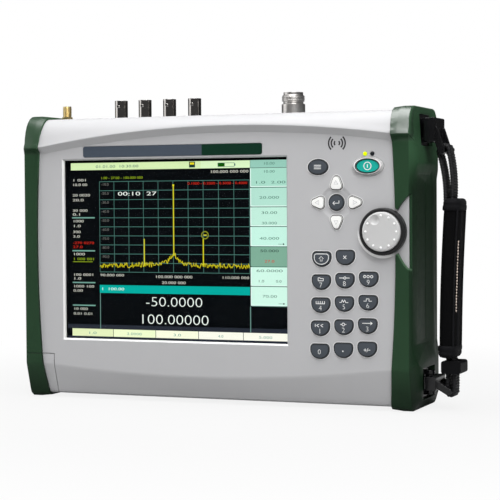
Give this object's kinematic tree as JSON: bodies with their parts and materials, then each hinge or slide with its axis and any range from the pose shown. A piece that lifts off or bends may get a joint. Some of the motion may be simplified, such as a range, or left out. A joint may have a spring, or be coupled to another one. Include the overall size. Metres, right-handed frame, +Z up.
{
  "type": "handheld spectrum analyzer",
  "caption": "Handheld spectrum analyzer: large display, keypad, rotary knob, connectors on top, rubber bumpers, side hand strap and rear tilt bail.",
  "frame": {"origin": "on the floor, in the middle of the footprint, hand strap and knob included", "axes": "+X to the user's right along the front, -Y out of the front panel, +Z up"},
  "size_m": [0.3338, 0.0771, 0.2241],
  "materials": {
    "bezel_grey": "fine satin moulding",
    "housing_grey": "fine textured moulding",
    "bumper_green": "matte moulded rubber",
    "nameplate_dark": "satin printed film",
    "window_clear": "clear",
    "display_black": "dark display face",
    "gasket_black": "matte",
    "trim_silver": "satin silver",
    "lamp_yellow": "clear tinted",
    "knob_grey": "satin moulding",
    "black_plastic": "fine textured moulding",
    "steel": "machined",
    "nickel": "satin nickel plate",
    "gold": "gold plate",
    "panel_metal": "painted panel",
    "board_green": "circuit board",
    "shield_metal": "bare sheet",
    "key_slate": "matte silicone",
    "key_white": "satin",
    "key_teal": "matte silicone",
    "webbing_black": "woven nylon",
    "pad_black": "padded fabric with stitching"
  },
  "bodies": {
    "case": {"front_bezel": "bezel_grey", "rear_housing": "housing_grey", "connector_panel": "panel_metal", "left_bumper": "bumper_green", "right_bumper": "bumper_green", "nameplate": "nameplate_dark", "display_window": "window_clear", "display_gasket": "gasket_black", "lcd_module": "display_black", "power_ring": "trim_silver", "indicator_leds": "lamp_yellow", "encoder_body": "steel", "keypad_board": "board_green", "main_board": "board_green", "rf_module": "shield_metal", "battery_pack": "black_plastic", "antenna_connector": "gold", "bnc_connectors": "nickel", "rf_connector": "nickel", "connector_nuts": "nickel", "strap_lugs": "black_plastic", "bail_brackets": "black_plastic", "case_screws": "steel", "speaker": "black_plastic", "fan_frame": "black_plastic"},
    "knob": {"knob_cap": "knob_grey", "knob_skirt": "black_plastic", "encoder_shaft": "steel"},
    "battery_door": {"battery_door": "bezel_grey", "battery_door_bumper": "bumper_green"},
    "hand_strap": {"strap_upper_link": "black_plastic", "strap_lower_link": "black_plastic", "strap_upper_webbing": "webbing_black", "strap_pad": "pad_black", "strap_lower_webbing": "webbing_black", "strap_buckle": "black_plastic"},
    "bail": {"tilt_bail": "housing_grey"},
    "fan": {"fan_rotor": "black_plastic"},
    "menu_key": {"key_menu": "key_slate"},
    "power_key": {"key_power": "key_teal"},
    "up_key": {"key_up": "key_white"},
    "down_key": {"key_down": "key_white"},
    "left_key": {"key_left": "key_white"},
    "right_key": {"key_right": "key_white"},
    "enter_key": {"key_enter": "key_slate"},
    "shift_key": {"key_shift": "key_slate"},
    "esc_key": {"key_esc": "key_slate"},
    "7_key": {"key_7": "key_slate"},
    "8_key": {"key_8": "key_slate"},
    "9_key": {"key_9": "key_slate"},
    "4_key": {"key_4": "key_slate"},
    "5_key": {"key_5": "key_slate"},
    "6_key": {"key_6": "key_slate"},
    "1_key": {"key_1": "key_slate"},
    "2_key": {"key_2": "key_slate"},
    "3_key": {"key_3": "key_slate"},
    "0_key": {"key_0": "key_slate"},
    "point_key": {"key_point": "key_slate"},
    "sign_key": {"key_sign": "key_slate"}
  },
  "joints": [
    {"name": "knob_turn", "type": "hinge", "parent": "case", "child": "knob", "pos_m": [0.11805, -0.03005, 0.1244], "axis": [0, 1, 0], "continuous": true},
    {"name": "battery_door_slide", "type": "slide", "parent": "case", "child": "battery_door", "axis": [0, 0, -1], "range_m": [0, 0.04]},
    {"name": "hand_strap_swing", "type": "hinge", "parent": "case", "child": "hand_strap", "pos_m": [0.14095, 0.00295, 0.11], "axis": [0, 0, 1], "range_deg": [-15, 15]},
    {"name": "bail_swing", "type": "hinge", "parent": "case", "child": "bail", "pos_m": [-0.01325, 0.03235, 0.116], "axis": [1, 0, 0], "range_deg": [0, 50]},
    {"name": "fan_spin", "type": "hinge", "parent": "case", "child": "fan", "pos_m": [-0.10525, 0.02495, 0.161], "axis": [0, 1, 0], "continuous": true},
    {"name": "key_menu_press", "type": "slide", "parent": "case", "child": "menu_key", "axis": [0, 1, 0], "range_m": [0, 0.001], "stiffness_N_per_m": 800},
    {"name": "key_power_press", "type": "slide", "parent": "case", "child": "power_key", "axis": [0, 1, 0], "range_m": [0, 0.001], "stiffness_N_per_m": 800},
    {"name": "key_up_press", "type": "slide", "parent": "case", "child": "up_key", "axis": [0, 1, 0], "range_m": [0, 0.001], "stiffness_N_per_m": 800},
    {"name": "key_down_press", "type": "slide", "parent": "case", "child": "down_key", "axis": [0, 1, 0], "range_m": [0, 0.001], "stiffness_N_per_m": 800},
    {"name": "key_left_press", "type": "slide", "parent": "case", "child": "left_key", "axis": [0, 1, 0], "range_m": [0, 0.001], "stiffness_N_per_m": 800},
    {"name": "key_right_press", "type": "slide", "parent": "case", "child": "right_key", "axis": [0, 1, 0], "range_m": [0, 0.001], "stiffness_N_per_m": 800},
    {"name": "key_enter_press", "type": "slide", "parent": "case", "child": "enter_key", "axis": [0, 1, 0], "range_m": [0, 0.001], "stiffness_N_per_m": 800},
    {"name": "key_shift_press", "type": "slide", "parent": "case", "child": "shift_key", "axis": [0, 1, 0], "range_m": [0, 0.001], "stiffness_N_per_m": 800},
    {"name": "key_esc_press", "type": "slide", "parent": "case", "child": "esc_key", "axis": [0, 1, 0], "range_m": [0, 0.001], "stiffness_N_per_m": 800},
    {"name": "key_7_press", "type": "slide", "parent": "case", "child": "7_key", "axis": [0, 1, 0], "range_m": [0, 0.001], "stiffness_N_per_m": 800},
    {"name": "key_8_press", "type": "slide", "parent": "case", "child": "8_key", "axis": [0, 1, 0], "range_m": [0, 0.001], "stiffness_N_per_m": 800},
    {"name": "key_9_press", "type": "slide", "parent": "case", "child": "9_key", "axis": [0, 1, 0], "range_m": [0, 0.001], "stiffness_N_per_m": 800},
    {"name": "key_4_press", "type": "slide", "parent": "case", "child": "4_key", "axis": [0, 1, 0], "range_m": [0, 0.001], "stiffness_N_per_m": 800},
    {"name": "key_5_press", "type": "slide", "parent": "case", "child": "5_key", "axis": [0, 1, 0], "range_m": [0, 0.001], "stiffness_N_per_m": 800},
    {"name": "key_6_press", "type": "slide", "parent": "case", "child": "6_key", "axis": [0, 1, 0], "range_m": [0, 0.001], "stiffness_N_per_m": 800},
    {"name": "key_1_press", "type": "slide", "parent": "case", "child": "1_key", "axis": [0, 1, 0], "range_m": [0, 0.001], "stiffness_N_per_m": 800},
    {"name": "key_2_press", "type": "slide", "parent": "case", "child": "2_key", "axis": [0, 1, 0], "range_m": [0, 0.001], "stiffness_N_per_m": 800},
    {"name": "key_3_press", "type": "slide", "parent": "case", "child": "3_key", "axis": [0, 1, 0], "range_m": [0, 0.001], "stiffness_N_per_m": 800},
    {"name": "key_0_press", "type": "slide", "parent": "case", "child": "0_key", "axis": [0, 1, 0], "range_m": [0, 0.001], "stiffness_N_per_m": 800},
    {"name": "key_point_press", "type": "slide", "parent": "case", "child": "point_key", "axis": [0, 1, 0], "range_m": [0, 0.001], "stiffness_N_per_m": 800},
    {"name": "key_sign_press", "type": "slide", "parent": "case", "child": "sign_key", "axis": [0, 1, 0], "range_m": [0, 0.001], "stiffness_N_per_m": 800}
  ]
}
